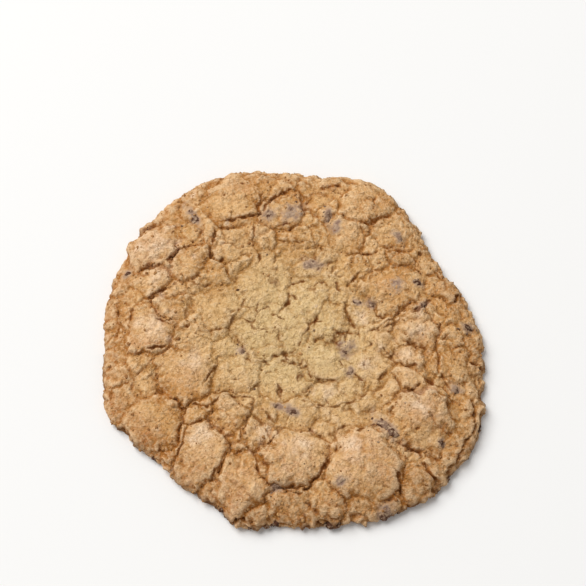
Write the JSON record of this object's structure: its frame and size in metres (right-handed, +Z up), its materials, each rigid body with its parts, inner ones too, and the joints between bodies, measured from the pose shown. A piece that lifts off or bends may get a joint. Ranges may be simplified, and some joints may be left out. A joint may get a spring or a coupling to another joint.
{
  "type": "chocolate chip cookie",
  "caption": "Thin round baked cookie with a crackled, puffed golden-brown top, a browned crumbly rim, a flat base and bits of dark chocolate set level with the crust.",
  "frame": {"origin": "middle of the cookie's box, on the flat base it rests on", "axes": "+Z up out of the crackled top, -Y to the edge nearest the viewer, +X to the viewer's right"},
  "size_m": [0.0942, 0.0934, 0.0084],
  "materials": {
    "baked_dough": "matte crumbly crust",
    "chocolate": "dull, bloomed dark chocolate"
  },
  "bodies": {
    "root": {"cookie": "baked_dough"}
  },
  "joints": []
}
